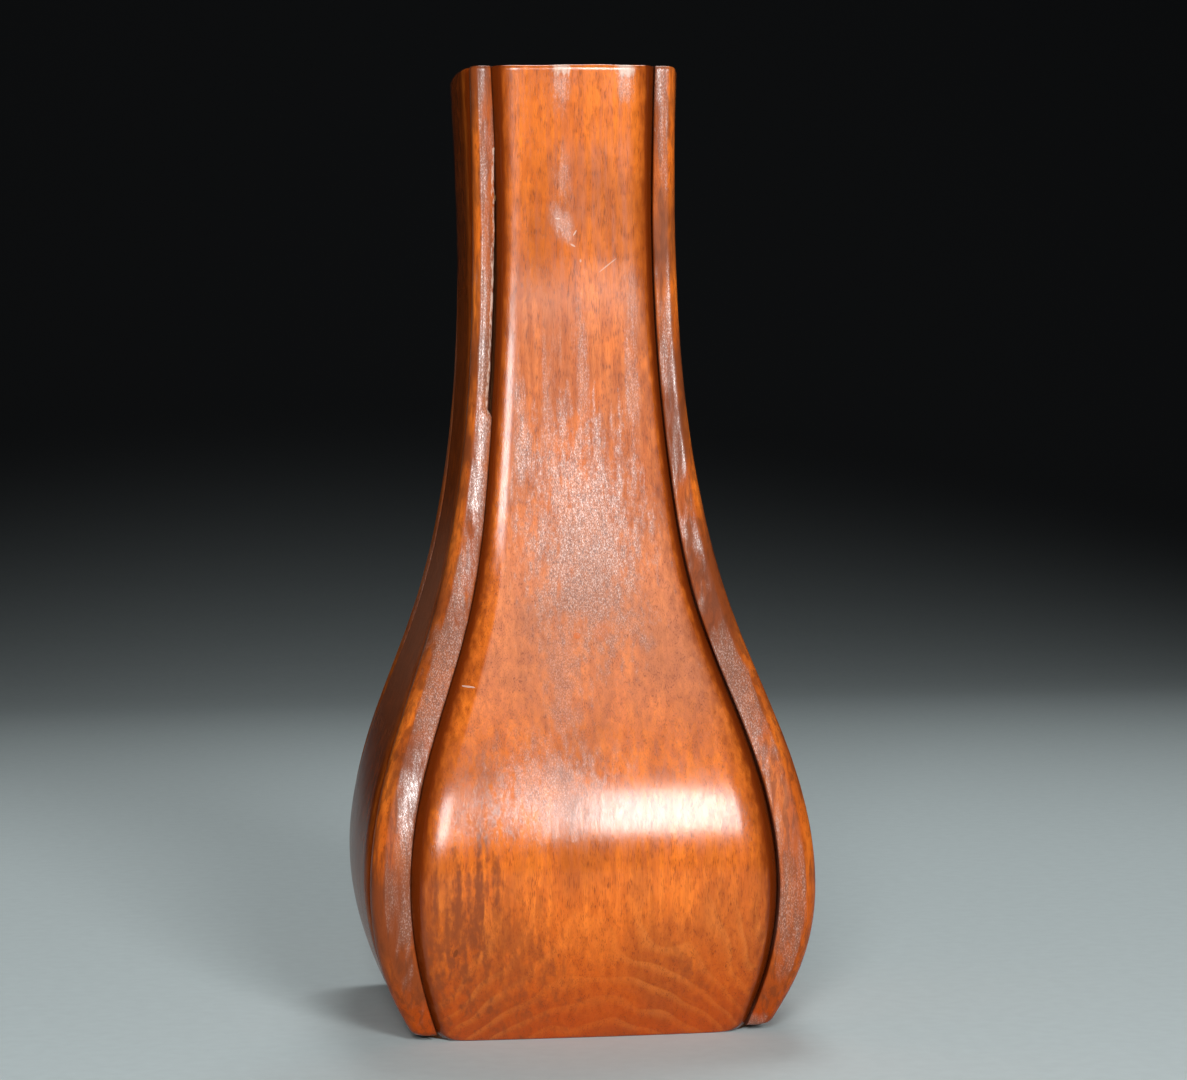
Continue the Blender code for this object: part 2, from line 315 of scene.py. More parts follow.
def sizes_at(height):
    """Every size of the section at a height."""
    face = post_face_line(height) - eased(height)
    crown = face + panel_proud(height)
    return SimpleNamespace(
        face=face, crown=crown, shoulder=crown - crown_drop(height),
        floor=face - groove_depth(height), width=post_width(height),
        seam=post_face_line(height) - post_width(height),
        cavity=post_face_line(height) - wall_depth(height) + eased(height))


print("section at the belly:", vars(sizes_at(37 * MM)))

# %% [markdown]
# ## Drawing a section up into a solid
#
# Both kinds of piece are lofts: one closed outline that changes as it rises. A ring of edges is
# extruded level by level with `extrude_edge_only`, and each new ring is moved to its own
# outline. The ends are filled, and inset a little, so that the end grain is a flat face with a
# soft border. Four numbers are kept for each point while its place on the section is known: how
# much grime and painted shade darken it towards the groove, how far the edge is worn, how clear
# the lacquer has stayed because hands don't reach it, and how bare the wood is inside.

# %% Levels and loft
LEVEL_STEP = 0.6 * MM
EASE_STEPS = 6
CAP_BORDER = 0.35 * MM
SHARP_ANGLE = math.radians(40)
MASKS = ("dirt_and_shade", "worn", "clear", "bare")
UNMARKED = (0, 0, 0, 0)


def levels(lowest, rounding):
    """Heights of the rings from the lowest up to the mouth, closer together at the rounded ends."""
    turns = [math.sin(math.pi / 2 * i / EASE_STEPS) for i in range(EASE_STEPS + 1)]
    foot = [lowest + rounding * (1 - turn) for turn in reversed(turns)]
    rim = [VASE_HEIGHT - RIM_EASE * (1 - turn) for turn in turns]
    count = round((rim[0] - foot[-1]) / LEVEL_STEP)
    body = [foot[-1] + (rim[0] - foot[-1]) * i / count for i in range(1, count)]
    return foot + body + rim


def kept_clear(turn, start, end):
    """How clear the lacquer stayed on a rounding, from how far the surface has turned from the face."""
    return min(1.0, max(0.0, (turn - start) / (end - start)))


def loft(ring_at, heights):
    """Draw a section of (across, outward, masks) points up through the heights and close its ends."""
    bm = bmesh.new()
    layers = [bm.verts.layers.float.new(mask) for mask in MASKS]

    def place(verts, height):
        for vert, (across, outward, masks) in zip(verts, ring_at(height)):
            vert.co = (across, outward, height)
            for layer, value in zip(layers, masks):
                vert[layer] = value

    ring = [bm.verts.new() for _ in ring_at(heights[0])]
    edges = [bm.edges.new((ring[i - 1], ring[i])) for i in range(len(ring))]
    place(ring, heights[0])
    caps = bmesh.ops.edgeloop_fill(bm, edges=edges)["faces"]
    for height in heights[1:]:
        drawn = bmesh.ops.extrude_edge_only(bm, edges=edges)["geom"]
        edges = [item for item in drawn if isinstance(item, bmesh.types.BMEdge)]
        fresh = {item for item in drawn if isinstance(item, bmesh.types.BMVert)}
        above = []
        for vert in ring:
            linked = (edge.other_vert(vert) for edge in vert.link_edges)
            above.append(next(other for other in linked if other in fresh))
        place(above, height)
        ring = above
    caps += bmesh.ops.edgeloop_fill(bm, edges=edges)["faces"]
    bmesh.ops.recalc_face_normals(bm, faces=bm.faces)
    bmesh.ops.inset_individual(bm, faces=caps, thickness=CAP_BORDER)
    for vert in (vert for cap in caps for vert in cap.verts):
        for layer in layers:
            vert[layer] = 0.0
    return bm


print("rings in a panel:", len(levels(0.0, FOOT_EASE)))

# %% [markdown]
# Nothing made by hand is quite even. A slow noise sinks the surface by up to about a fifth of a
# millimetre, which bends the reflections as on the real lacquer, and it never lifts the surface,
# so the piece stays inside its true size. The mouth's edge is worn down unevenly in the same way,
# and is marked as worn, the most where it is lowest.

# %% Uneven surface
WAVE_DEPTH = 0.11 * MM
WAVES = {30 * MM: 0.60, 11 * MM: 0.30, 5 * MM: 0.10}
RIM_WEAR = 0.35 * MM
RIM_WEAR_LENGTH = 7 * MM
RIM_WEAR_REACH = 1.6 * MM
RIM_WORN_LEAST = 0.50
RIM_WORN_MORE = 0.45


def sunk(point):
    """How far the surface sinks at a point, from nothing up to twice the wave depth."""
    wave = sum(share * noise.noise(point / length) for length, share in WAVES.items())
    return WAVE_DEPTH * (1 + wave)


def wear_rim(bm):
    """Wear the top edge down by an uneven amount, and keep how worn it is."""
    worn = bm.verts.layers.float["worn"]
    for vert in bm.verts:
        near_top = max(0.0, 1 - (VASE_HEIGHT - vert.co.z) / RIM_WEAR_REACH)
        if near_top > 0:
            share = 0.5 + 0.5 * noise.noise(vert.co / RIM_WEAR_LENGTH)
            vert.co.z -= RIM_WEAR * near_top * share
            vert[worn] = max(vert[worn], (RIM_WORN_LEAST + RIM_WORN_MORE * share) * near_top)


def finish_piece(name, bm, turn):
    """Turn the shape about the vase's axis, and make it a smooth-shaded piece of the vase."""
    bmesh.ops.rotate(bm, cent=(0, 0, 0), matrix=Matrix.Rotation(turn, 3, "Z"), verts=bm.verts)
    mesh = bpy.data.meshes.new(name)
    bm.to_mesh(mesh)
    bm.free()
    mesh.shade_smooth()
    mesh.set_sharp_from_angle(angle=SHARP_ANGLE)
    piece = bpy.data.objects.new(name, mesh)
    bpy.context.scene.collection.objects.link(piece)
    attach(piece, "root")
    return piece


# %% [markdown]
# ## The side panels
#
# A panel is a board about a centimetre thick. Its face is a shallow crown that rolls over into
# a rounded edge, slowly at first, as a planed bevel does, then slopes down to the groove. Behind
# the groove its edge runs straight in against the post and ends in a short mitre with the next
# panel. Many points go to the rounded edge, where the light changes fastest, and few to the flat
# inside. The lacquer stayed clear on the roundings, sooner on the left edge than on the right.

# %% A panel's section
CROWN_STEPS = 26
EDGE_STEPS = 16
SLOPE_STEPS = 5
INSIDE_STEPS = 8
FIT_ROUNDS = 3
SLOPE_TOP_DIRT_AND_SHADE = 0.75
EDGE_BEVEL = 0.3
EDGE_EASE = 6.0
LEFT_CLEAR = (math.radians(3), math.radians(6))
RIGHT_CLEAR = (math.radians(8), math.radians(20))
PANEL_CORNER = 3.0 * MM
edge_length = smooth_line({0: 4.6, 37: 6.2, 125: 4.8, 220: 5.0})


def edge_curve(length, start):
    """The rounding of a panel's edge as (reach, fall, turn) points: nearly a bevel, then tighter."""
    reach, fall, turn = 0.0, 0.0, start
    curve = []
    for i in range(1, EDGE_STEPS + 1):
        share = i / EDGE_STEPS
        turned = EDGE_BEVEL * share + (1 - EDGE_BEVEL) * share ** EDGE_EASE
        next_turn = start + (EDGE_SLOPE - start) * turned
        middle = (turn + next_turn) / 2
        reach += length / EDGE_STEPS * math.cos(middle)
        fall += length / EDGE_STEPS * math.sin(middle)
        turn = next_turn
        curve.append((reach, fall, turn))
    return curve


def panel_ring(height):
    """Points of a panel's section that faces outward along +Y, with their masks."""
    size = sizes_at(height)
    half = size.seam - SEAM_GAP / 2
    foot_half = half - rounded_in(height, PANEL_CORNER)
    crown_fall = size.crown - size.shoulder
    flat_half = foot_half
    for _ in range(FIT_ROUNDS):
        rounding = edge_curve(edge_length(height), math.atan(2 * crown_fall / flat_half))
        edge_reach, edge_fall, _ = rounding[-1]
        slope_rise = size.shoulder - size.floor - edge_fall
        slope_run = slope_rise / math.tan(EDGE_SLOPE)
        flat_half = foot_half - slope_run - edge_reach

    def half_outline(cleared):
        """The panel's outside from the groove on the +X side in to the middle of its face."""
        points = []
        # The slope down into the groove is marked darkest at the bottom: grime, and painted shade in
        # the groove.
        for i in range(SLOPE_STEPS):
            share = i / SLOPE_STEPS
            dirt_and_shade = 1 - (1 - SLOPE_TOP_DIRT_AND_SHADE) * share
            points.append((foot_half - slope_run * share, size.floor + slope_rise * share,
                           (dirt_and_shade, 0, 1, 0)))
        for reach, fall, turn in reversed(rounding):
            dirt_and_shade = SLOPE_TOP_DIRT_AND_SHADE * turn / EDGE_SLOPE
            clear = kept_clear(turn, *cleared)
            points.append((flat_half + reach, size.shoulder - fall, (dirt_and_shade, 0, clear, 0)))
        for i in range(CROWN_STEPS, 0, -1):
            share = i / CROWN_STEPS
            points.append((flat_half * share, size.crown - crown_fall * share ** 2, UNMARKED))
        return points

    left = half_outline(LEFT_CLEAR)
    right = reversed(half_outline(RIGHT_CLEAR))
    right = [(-across, outward, masks) for across, outward, masks in right]
    outside = []
    for across, outward, masks in left + [(0.0, size.crown, UNMARKED)] + right:
        outside.append((across, outward - sunk(Vector((across, outward, height))), masks))

    mitre_gap = SEAM_GAP / math.sqrt(2)
    inner = size.cavity - mitre_gap
    inside = [(-half, half + mitre_gap, (1, 0, 0, 1))]
    for i in range(INSIDE_STEPS + 1):
        inside.append((inner * (2 * i / INSIDE_STEPS - 1), size.cavity, (0, 0, 0, 1)))
    inside.append((half, half + mitre_gap, (1, 0, 0, 1)))
    return outside + inside


# %% The four panels
SIDES = ("front", "right", "back", "left")


def side_turn(side):
    """Turn that brings a piece drawn facing +Y to a side; the front faces -Y."""
    return math.pi + side * math.pi / 2


panels = {}
for side, side_name in enumerate(SIDES):
    shape = loft(panel_ring, levels(0.0, PANEL_CORNER))
    wear_rim(shape)
    panel = finish_piece(side_name + "_panel_lacquered", shape, side_turn(side))
    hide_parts(side_name + "_panel")
    panels[side_name] = panel
print("faces in a panel:", len(panels["front"].data.polygons))

# %% [markdown]
# ## The corner posts
#
# A post is a square stick that stands a little behind the panels. Its outer corner is well
# rounded, its faces are very slightly crowned, and its two arrises, the edges beside the grooves,
# are rubbed to a small uneven radius that catches the light. Beside the front panel's left edge a
# sliver has broken off the post, which leaves the seam open and black for over a quarter of the
# height.

# %% The open seam
SLIVER_TOP = 201 * MM
SLIVER_BOTTOM = 140 * MM
SLIVER_WIDTH = 1.15 * MM
SLIVER_END = 1.5 * MM
SLIVER_TAPER = 0.6
SLIVER_RAGGED = 0.25
SLIVER_RAGGED_LENGTH = 4 * MM


def sliver_width(height):
    """Width of the missing sliver: widest at its broken lower end, and running out upwards."""
    share = (SLIVER_TOP - height) / (SLIVER_TOP - SLIVER_BOTTOM)
    if share <= 0:
        return 0.0
    broken = min(1.0, max(0.0, (height - SLIVER_BOTTOM) / SLIVER_END))
    ragged = 1 + SLIVER_RAGGED * noise.noise(Vector((0, 0, height / SLIVER_RAGGED_LENGTH)))
    return SLIVER_WIDTH * min(1.0, share) ** SLIVER_TAPER * broken * ragged


sliver_middle = (SLIVER_TOP + SLIVER_BOTTOM) / 2
print("the seam is open by", round(sliver_width(sliver_middle) / MM, 2), "mm half way down")

# %% A post's section
ARRIS_ROUND = 0.45 * MM
ARRIS_STEPS = 5
ARRIS_REACH = 0.7 * MM
ARRIS_UNEVEN = 0.5
ARRIS_UNEVEN_LENGTH = 5 * MM
ARRIS_DIRT_AND_SHADE = 0.45
FACE_STEPS = 9
FACE_CROWN = 0.30 * MM
CORNER_STEPS = 14
WALL_STEPS = 5
POST_LIFT = 1.5 * MM
POST_FOOT_ROUND = 1.4 * MM
RUBBED = 0.65
RUBBED_AT_SLIVER = 1.0
CORNER_CLEAR = (math.radians(4), math.radians(22))


def half_post_ring(height, missing):
    """Half of a post's section: in from the middle of its outer corner to its inner corner."""
    size = sizes_at(height)
    inner = size.seam + SEAM_GAP / 2
    radius = CORNER_SHARE * size.width
    face = size.face - rounded_in(height - POST_LIFT, POST_FOOT_ROUND)
    centre = face - radius
    rubbed = RUBBED_AT_SLIVER if missing > 0 else RUBBED
    wall_at = inner + missing
    unevenness = noise.noise(Vector((size.face, 0, height)) / ARRIS_UNEVEN_LENGTH)
    arris = ARRIS_ROUND * (1 + ARRIS_UNEVEN * unevenness)
    arris_top = face - FACE_CROWN
    wall_top = arris_top - arris
    points = []
    for i in range(CORNER_STEPS // 2, CORNER_STEPS + 1):
        turn = math.pi / 2 * i / CORNER_STEPS
        clear = kept_clear(math.pi / 2 - turn, *CORNER_CLEAR)
        points.append((centre + radius * math.cos(turn), centre + radius * math.sin(turn),
                       (0, 0, clear, 0)))
    for i in range(1, FACE_STEPS + 1):
        share = 1 - (1 - i / FACE_STEPS) ** 2
        across = centre + (wall_at + arris - centre) * share
        worn = rubbed * math.exp(-((across - wall_at - arris) / ARRIS_REACH) ** 2)
        points.append((across, face - FACE_CROWN * share ** 2, (0, worn, 0, 0)))
    # The arris and the wall down into the groove are marked darker and darker: grime, and painted shade
    # in the groove.
    for i in range(1, ARRIS_STEPS + 1):
        turn = math.pi / 2 * i / ARRIS_STEPS
        points.append((wall_at + arris * (1 - math.sin(turn)), arris_top - arris * (1 - math.cos(turn)),
                       (ARRIS_DIRT_AND_SHADE * i / ARRIS_STEPS, rubbed, 0, 0)))
    for i in range(1, WALL_STEPS + 1):
        share = i / WALL_STEPS
        points.append((inner + missing * (1 - share ** 4), wall_top + (inner - wall_top) * share,
                       (ARRIS_DIRT_AND_SHADE + (1 - ARRIS_DIRT_AND_SHADE) * share, 0, 0, 0)))
    return points


def post_ring(height, sliver=0.0):
    """Points of the post at the +X, +Y corner; a sliver is missing beside its +Y face."""
    upper = half_post_ring(height, sliver)
    lower = half_post_ring(height, 0.0)
    lower = [(outward, across, masks) for across, outward, masks in reversed(lower[1:-1])]
    ring = []
    for across, outward, masks in lower + upper:
        sink = sunk(Vector((across, -outward, height))) if masks[0] <= ARRIS_DIRT_AND_SHADE else 0.0
        ring.append((across - sink, outward - sink, masks))
    return ring


# %% The four posts
CORNERS = ("back_right", "back_left", "front_left", "front_right")


def split_post_ring(height):
    """The section of the post that lost a sliver."""
    return post_ring(height, sliver_width(height))


posts = {}
for corner, corner_name in enumerate(CORNERS):
    ring_at = split_post_ring if corner_name == "front_left" else post_ring
    shape = loft(ring_at, levels(POST_LIFT, POST_FOOT_ROUND))
    wear_rim(shape)
    post = finish_piece(corner_name + "_post_lacquered", shape, corner * math.pi / 2)
    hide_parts(corner_name + "_post")
    posts[corner_name] = post
print("faces in a post:", len(posts["front_left"].data.polygons))

# %% [markdown]
# ## Node groups
#
# The panels and the posts share the same effects in different strengths. Each effect is a node
# group, built once, and each material places it with its own values. The groups give only masks;
# the colours that the masks mix stay in the material, where they are easy to change.

# %% Helpers for node groups


def new_group(name, inputs, outputs):
    """Make a shader node group, and return it with its named inputs and its end node."""
    tree = bpy.data.node_groups.new(name, "ShaderNodeTree")
    for socket, kind in inputs.items():
        tree.interface.new_socket(socket, in_out="INPUT", socket_type="NodeSocket" + kind)
    for socket in outputs:
        tree.interface.new_socket(socket, in_out="OUTPUT", socket_type="NodeSocketFloat")
    return tree, tree.nodes.new("NodeGroupInput").outputs, tree.nodes.new("NodeGroupOutput")


def use_group(tree, group, inputs):
    """Place a group in a material and return its outputs."""
    return add(tree, "ShaderNodeGroup", inputs, node_tree=group).outputs


# %% [markdown]
# ## Grain
#
# Wood is a stack of growth layers round a pith, with fibres along the trunk. Written as a solid
# pattern in the board's own coordinates, it is cut by the modelled surface just as the saw and
# scraper cut the real board. The swelling body slices the layers into nested arches near the
# foot, and the mouth shows end grain, without any further work.
#
# Seven outputs serve every wooden piece: the layers, long streaks, short dark flecks where pores
# are cut open, the slow figure that makes some places darker, long soft bands, a small mottle,
# and the stains that use has left.

# %% The grain group
WANDER_GRAIN = 26 * MM
GRAIN_CLOUDS = {
    "Streaks": dict(grain=(1.1, 1.1, 26), detail=3.0, distortion=0.0, start=0.36, full=0.66),
    "Flecks": dict(grain=(0.20, 0.20, 1.9), detail=2.0, distortion=0.0, start=0.54, full=0.63),
    "Figure": dict(grain=(17, 17, 34), detail=3.0, distortion=0.6, start=0.40, full=0.66),
    "Bands": dict(grain=(4.5, 4.5, 70), detail=2.0, distortion=0.3, start=0.40, full=0.62),
    "Mottle": dict(grain=(2.2, 2.2, 3.6), detail=4.0, distortion=0.4, start=0.42, full=0.66),
    "Stains": dict(grain=(1.3, 1.3, 9), detail=5.0, distortion=0.4, start=0.46, full=0.60),
}


def masking_cloud(tree, vector, grain, detail, distortion, start, full):
    """A noise made a mask: nought below the start, one above the full value; grain in millimetres."""
    clouded = cloud(tree, vector, [size * MM for size in grain], detail, distortion)
    return smooth_step(tree, clouded, start, full)


grain, grain_in, grain_end = new_group(
    "wood_grain", {"Board": "Vector", "Ring Spacing": "Float", "Ring Wander": "Float"},
    ["Rings", *GRAIN_CLOUDS])
board_at = grain_in["Board"]
wander = cloud(grain, board_at, [WANDER_GRAIN] * 3)
wander = maths(grain, "MULTIPLY", maths(grain, "SUBTRACT", wander, 0.5), grain_in["Ring Wander"])
flat_at = vector_maths(grain, "MULTIPLY", board_at, (1.0, 1.0, 0.0))
radius_out = maths(grain, "ADD", vector_maths(grain, "LENGTH", flat_at), wander)
layer_count = maths(grain, "DIVIDE", radius_out, grain_in["Ring Spacing"])
saw_tooth = maths(grain, "FRACT", layer_count)
rise = smooth_step(grain, saw_tooth, 0.45, 0.86)
fall = smooth_step(grain, saw_tooth, 1.0, 0.90)
feed(grain, grain_end, {"Rings": maths(grain, "MULTIPLY", rise, fall)})
for output, settings in GRAIN_CLOUDS.items():
    feed(grain, grain_end, {output: masking_cloud(grain, board_at, **settings)})
print("grain group nodes:", len(grain.nodes))

# %% [markdown]
# ## Worn lacquer
#
# Handling has dulled the lacquer in long patches. There it scatters the light in a soft haze
# full of tiny sparks and dark pits, while between them the wood still glows deep orange. The
# group gives the haze as a mask, how strongly it scatters, broken into fibres, then one fine
# noise for the bump, and the sparks and the pits that are cut from its high and low ends.

# %% The haze group
BROAD_SHARE = 0.7
FINE_SHARE = 0.3
haze, haze_in, haze_end = new_group(
    "lacquer_haze", {"Board": "Vector", "Amount": "Float"},
    ["Haze", "Scatter", "Speckle", "Sparks", "Pits"])
broad = cloud(haze, haze_in["Board"], (9 * MM, 9 * MM, 42 * MM), detail=3.0, distortion=0.5)
fine = cloud(haze, haze_in["Board"], (1.6 * MM, 1.6 * MM, 18 * MM), detail=3.0)
both = maths(haze, "ADD", maths(haze, "MULTIPLY", broad, BROAD_SHARE),
             maths(haze, "MULTIPLY", fine, FINE_SHARE))
lifted = maths(haze, "ADD", both, haze_in["Amount"])
speckle = cloud(haze, haze_in["Board"], (0.20 * MM, 0.20 * MM, 0.50 * MM), detail=3.0)
sparks = smooth_step(haze, speckle, 0.50, 0.64)
fibres = smooth_step(haze, cloud(haze, haze_in["Board"], (0.4 * MM, 0.4 * MM, 11 * MM)), 0.36, 0.64)
sparkle = maths(haze, "MULTIPLY_ADD", sparks, 0.70, 0.35)
fibrous = maths(haze, "MULTIPLY_ADD", fibres, 0.7, 0.45)
feed(haze, haze_end, {
    "Haze": smooth_step(haze, lifted, 0.48, 0.64), "Scatter": maths(haze, "MULTIPLY", sparkle, fibrous),
    "Speckle": speckle, "Sparks": sparks, "Pits": smooth_step(haze, speckle, 0.47, 0.36)})
print("haze group nodes:", len(haze.nodes))

# %% [markdown]
# ## Grime and painted shade in the grooves, and worn edges
#
# The masks that the lofts stored are smooth, and real grime and wear are not. This group breaks
# them up with noise, so that grime ends raggedly and an arris is rubbed through in places. A
# brown starts well before the grime does, on the slopes into the grooves and the edges of the
# roundings: partly a stain of grime on the lacquer, partly painted shade where the slopes lie in
# the groove's shadow.

# %% The edges group
GRIME_PATCHES = 0.5
WEAR_CHIPS = 1.2
edges, edges_in, edges_end = new_group(
    "grime_and_wear", {"Board": "Vector", "Dirt And Shade": "Float", "Worn": "Float"},
    ["Shade", "Grime", "Rubbed"])
patchy = cloud(edges, edges_in["Board"], (1.2 * MM, 1.2 * MM, 5 * MM), detail=3.0)
soiled_and_shaded = maths(edges, "ADD", edges_in["Dirt And Shade"], maths(edges, "MULTIPLY", patchy, GRIME_PATCHES))
chippy = cloud(edges, edges_in["Board"], (0.4 * MM, 0.4 * MM, 1.4 * MM), detail=3.0)
worn_away = maths(edges, "ADD", edges_in["Worn"], maths(edges, "MULTIPLY", chippy, WEAR_CHIPS))
feed(edges, edges_end, {
    "Shade": smooth_step(edges, soiled_and_shaded, 0.20, 0.75), "Grime": smooth_step(edges, soiled_and_shaded, 1.05, 1.45),
    "Rubbed": smooth_step(edges, worn_away, 1.45, 1.75)})
print("grime and wear group nodes:", len(edges.nodes))

# %% [markdown]
# ## Single marks
#
# A few marks on the front can be pointed at: dull patches down the middle, a pale one high up,
# nicks beside it, a scratch, round dents, dark clouds low down. Each is an ellipse on the board
# with a ragged edge. The group turns the board about the mark's centre, measures how far a point
# is from it in units of the mark's own reach, and fades from one at the firm share of the reach
# to nought at its end.

# %% The mark group
LONG_SHARE = 2.0
EDGE_MEAN = 1.5
spot, spot_in, spot_end = new_group(
    "single_mark",
    {"Board": "Vector", "Centre": "Vector", "Lean": "Vector", "Reach": "Vector", "Ragged": "Float",
     "Firm": "Float"},
    ["Inside"])
aside = vector_maths(spot, "SUBTRACT", spot_in["Board"], spot_in["Centre"])
leaned = add(spot, "ShaderNodeVectorRotate", {"Vector": aside, "Rotation": spot_in["Lean"]},
             rotation_type="EULER_XYZ").outputs[0]
in_reaches = vector_maths(spot, "DIVIDE", leaned, spot_in["Reach"])
distance = vector_maths(spot, "LENGTH", in_reaches)
rough_edge = cloud(spot, spot_in["Board"], (0.9 * MM, 0.9 * MM, 1.6 * MM), detail=3.0)
long_edge = cloud(spot, spot_in["Board"], (1.6 * MM, 1.6 * MM, 18 * MM), detail=3.0)
ragged_by = maths(spot, "MULTIPLY_ADD", long_edge, LONG_SHARE,
                  maths(spot, "SUBTRACT", rough_edge, EDGE_MEAN))
distance = maths(spot, "ADD", distance, maths(spot, "MULTIPLY", ragged_by, spot_in["Ragged"]))
feed(spot, spot_end, {"Inside": smooth_step(spot, distance, 1.0, spot_in["Firm"])})
print("mark group nodes:", len(spot.nodes))

# %% [markdown]
# ## The lacquered wood
#
# One function makes the wood of every panel and post. A Mapping node turns the object's
# coordinates into the board's own, with X across, Y outwards from the pith and Z up, and shifts
# them so that no two boards share their grain. Colours go on in the order of the real finish:
# wood, figure, stains, pores, worn haze, grime, rubbed edges, and the single marks. Painted light
# goes in among them: painted shade on the left panel, towards the foot and on the slopes into the
# grooves, and a painted sheen and glints in the dulled lacquer. The bare wood of the inside covers
# them all. The lacquer itself is the shader's own gloss, smooth where it stayed clear and rough
# where hands wore it. The haze is the shader's coat: it scatters the light of a lamp over a soft
# patch, broken up by fine speckle.

# %% Colours of the finish
ORANGE = colour(0.80, 0.190, 0.020)
RED_BROWN = colour(0.55, 0.110, 0.012)
MOTTLE_BROWN = colour(0.42, 0.075, 0.008)
STAIN = colour(0.12, 0.032, 0.012)
DARK_FIGURE = colour(0.20, 0.045, 0.012)
# Painted shade: the wood is darkened towards the foot, where the surface turns down from the light.
FOOT_SHADE = colour(0.36, 0.045, 0.002)
# Painted shade on the left panel, and a darker wood on the posts' faces.
DARK_WOOD_AND_SHADE = colour(0.13, 0.022, 0.004)
# Brown on the slopes into the grooves: a stain of grime, and painted shade.
EDGE_STAIN_AND_SHADE = colour(0.15, 0.022, 0.002)
PALE_LAYER = colour(0.90, 0.290, 0.050)
OPEN_PORE = colour(0.16, 0.035, 0.008)
# Dulled lacquer, partly a painted sheen standing in for the glow of a lamp.
DULL_HAZE_AND_SHEEN = colour(0.46, 0.220, 0.140)
UNDER_HAZE = colour(0.27, 0.100, 0.050)
# Pale specks in the haze: scuffs, partly painted glints.
SPARK_AND_GLINT = colour(0.85, 0.700, 0.640)
HAZE_PIT = colour(0.15, 0.075, 0.060)
GRIME_BROWN = colour(0.040, 0.012, 0.004)
RUBBED_WOOD = colour(0.62, 0.450, 0.360)
BARE_INSIDE = colour(0.25, 0.100, 0.036)
BARE_STREAK = colour(0.12, 0.045, 0.016)

# %% Heights that the finish follows
HANDLED_FROM = 56 * MM
HANDLED_TO = 92 * MM
FADED_FROM = 100 * MM
FADED_TO = 128 * MM
FRESH_FROM = 154 * MM
FRESH_TO = 178 * MM
FOOT_SHADE_FROM = 36 * MM
FOOT_SHADE_TO = 0 * MM
ARCHES_FROM = 44 * MM
ARCHES_TO = 24 * MM

# %% Growth layers, gloss and relief
RING_SPACING = 2.8 * MM
RING_WANDER = 11 * MM
CLEAR_ROUGHNESS = 0.13
WORN_ROUGHNESS = 0.52
STREAK_ROUGHNESS = 0.05
SOILED_ROUGHNESS = 0.75
HAZE_IOR = 1.6
BUMP_STRENGTH = 0.6
BUMP_DISTANCE = 0.04 * MM
FLECK_SINKS = -0.5
POLISH_FILLS = 0.35
SPECKLE_RISES = 1.2

# %% How strongly each colour shows
STREAK_SHARE = 0.60
MOTTLE_SHARE = 0.45
FOOT_SHADE_SHARE = 0.88
UNDER_HAZE_SHARE = 0.45
SPARK_AND_GLINT_SHARE = 0.20
PIT_SHARE = 0.80
GRIME_SHARE = 0.94
RUBBED_SHARE = 0.70
INSIDE_STREAK_SHARE = 0.7
INSIDE_FLECK_SHARE = 0.5
CLEAR_LESS_HAZE = -0.20
FRESH_MORE_HAZE = 0.12


